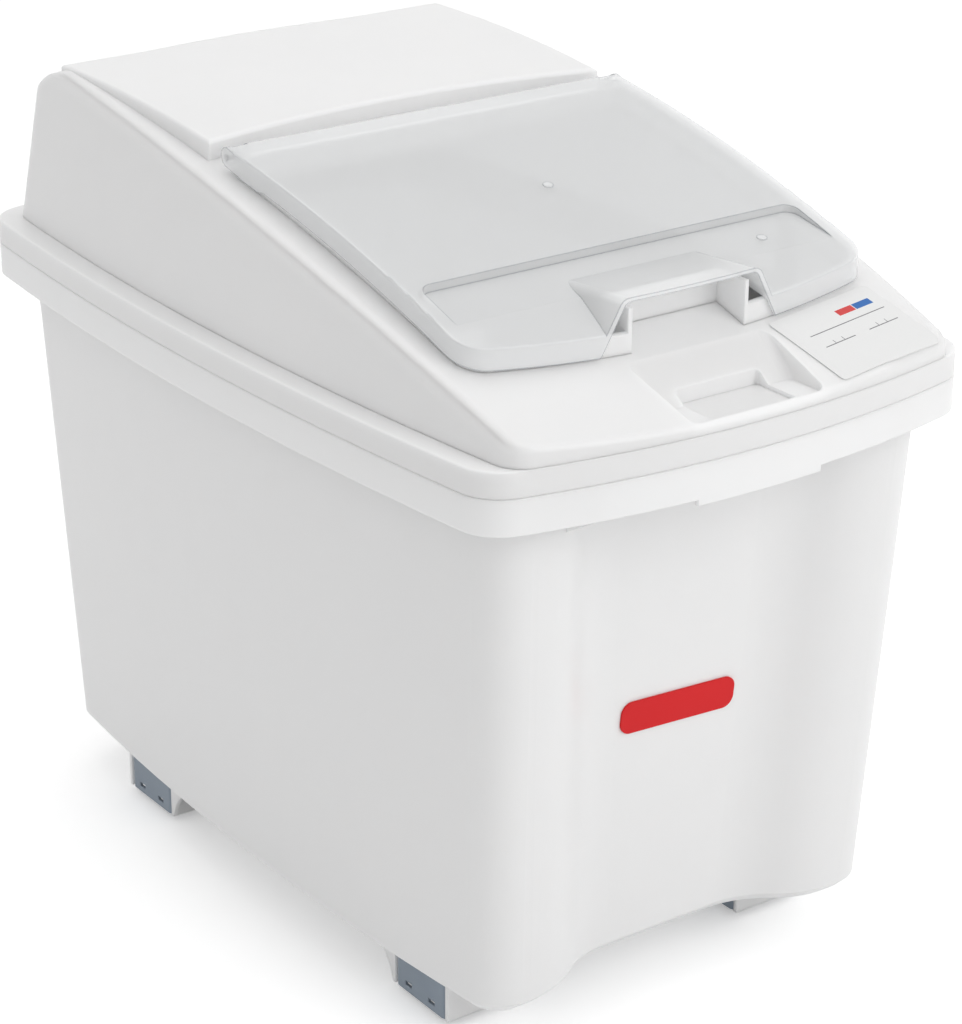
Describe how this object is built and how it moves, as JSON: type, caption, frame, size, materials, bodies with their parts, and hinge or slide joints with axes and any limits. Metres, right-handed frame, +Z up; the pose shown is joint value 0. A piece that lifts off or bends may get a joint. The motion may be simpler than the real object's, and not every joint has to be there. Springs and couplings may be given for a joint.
{
  "type": "ingredient bin",
  "caption": "Tapered rolling bin for loose ingredients with a lift-off slant-top hood, a clear hinged front door with a finger hood, and swivel casters in cups.",
  "frame": {"origin": "on the floor under the middle of the rim's outline", "axes": "+Z up, -Y towards the front with the door, +X to the right seen from the front"},
  "size_m": [0.4, 0.646, 0.5375],
  "materials": {
    "milky_plastic": "smooth milky white, faint satin sheen",
    "clear_plastic": "clear, glossy, darker along its edges",
    "cup_grey": "moulded blue-grey",
    "wheel_grey": "moulded grey",
    "tyre_rubber": "dull dark rubber",
    "nylon_white": "plain nylon",
    "steel": "zinc-plated",
    "label_film": "printed film",
    "badge_red": "plain red"
  },
  "bodies": {
    "tub_body": {"tub": "milky_plastic", "front_badge": "badge_red", "caster_cup_front_left": "cup_grey", "kingpin_front_left": "steel", "swivel_washer_front_left": "nylon_white", "caster_cup_front_right": "cup_grey", "kingpin_front_right": "steel", "swivel_washer_front_right": "nylon_white", "caster_cup_rear_left": "cup_grey", "kingpin_rear_left": "steel", "swivel_washer_rear_left": "nylon_white", "caster_cup_rear_right": "cup_grey", "kingpin_rear_right": "steel", "swivel_washer_rear_right": "nylon_white"},
    "lid_body": {"lid": "milky_plastic", "lid_rim": "milky_plastic", "door_frame": "milky_plastic", "label": "label_film", "hinge_pin_left": "steel", "hinge_pin_right": "steel"},
    "door_body": {"door": "clear_plastic"},
    "swivel_front_left": {"caster_fork_front_left": "steel", "axle_front_left": "steel"},
    "roller_front_left": {"wheel_front_left": "wheel_grey", "tyre_front_left": "tyre_rubber"},
    "swivel_front_right": {"caster_fork_front_right": "steel", "axle_front_right": "steel"},
    "roller_front_right": {"wheel_front_right": "wheel_grey", "tyre_front_right": "tyre_rubber"},
    "swivel_rear_left": {"caster_fork_rear_left": "steel", "axle_rear_left": "steel"},
    "roller_rear_left": {"wheel_rear_left": "wheel_grey", "tyre_rear_left": "tyre_rubber"},
    "swivel_rear_right": {"caster_fork_rear_right": "steel", "axle_rear_right": "steel"},
    "roller_rear_right": {"wheel_rear_right": "wheel_grey", "tyre_rear_right": "tyre_rubber"}
  },
  "joints": [
    {"name": "lid_lift", "type": "slide", "parent": "tub_body", "child": "lid_body", "axis": [0, 0, 1], "range_m": [0, 0.25]},
    {"name": "door_hinge", "type": "hinge", "parent": "lid_body", "child": "door_body", "pos_m": [0, 0.02035, 0.5232], "axis": [-1, 0, 0], "range_deg": [0, 118]},
    {"name": "swivel_turn_front_left", "type": "hinge", "parent": "tub_body", "child": "swivel_front_left", "pos_m": [-0.1195, -0.1785, 0.0387], "axis": [0, 0, 1], "continuous": true},
    {"name": "wheel_roll_front_left", "type": "hinge", "parent": "swivel_front_left", "child": "roller_front_left", "pos_m": [-0.1195, -0.1725, 0.0175], "axis": [1, 0, 0], "continuous": true},
    {"name": "swivel_turn_front_right", "type": "hinge", "parent": "tub_body", "child": "swivel_front_right", "pos_m": [0.1195, -0.1785, 0.0387], "axis": [0, 0, 1], "continuous": true},
    {"name": "wheel_roll_front_right", "type": "hinge", "parent": "swivel_front_right", "child": "roller_front_right", "pos_m": [0.1195, -0.1725, 0.0175], "axis": [1, 0, 0], "continuous": true},
    {"name": "swivel_turn_rear_left", "type": "hinge", "parent": "tub_body", "child": "swivel_rear_left", "pos_m": [-0.124, 0.1595, 0.0387], "axis": [0, 0, 1], "continuous": true},
    {"name": "wheel_roll_rear_left", "type": "hinge", "parent": "swivel_rear_left", "child": "roller_rear_left", "pos_m": [-0.124, 0.1655, 0.0175], "axis": [1, 0, 0], "continuous": true},
    {"name": "swivel_turn_rear_right", "type": "hinge", "parent": "tub_body", "child": "swivel_rear_right", "pos_m": [0.124, 0.1595, 0.0387], "axis": [0, 0, 1], "continuous": true},
    {"name": "wheel_roll_rear_right", "type": "hinge", "parent": "swivel_rear_right", "child": "roller_rear_right", "pos_m": [0.124, 0.1655, 0.0175], "axis": [1, 0, 0], "continuous": true}
  ]
}
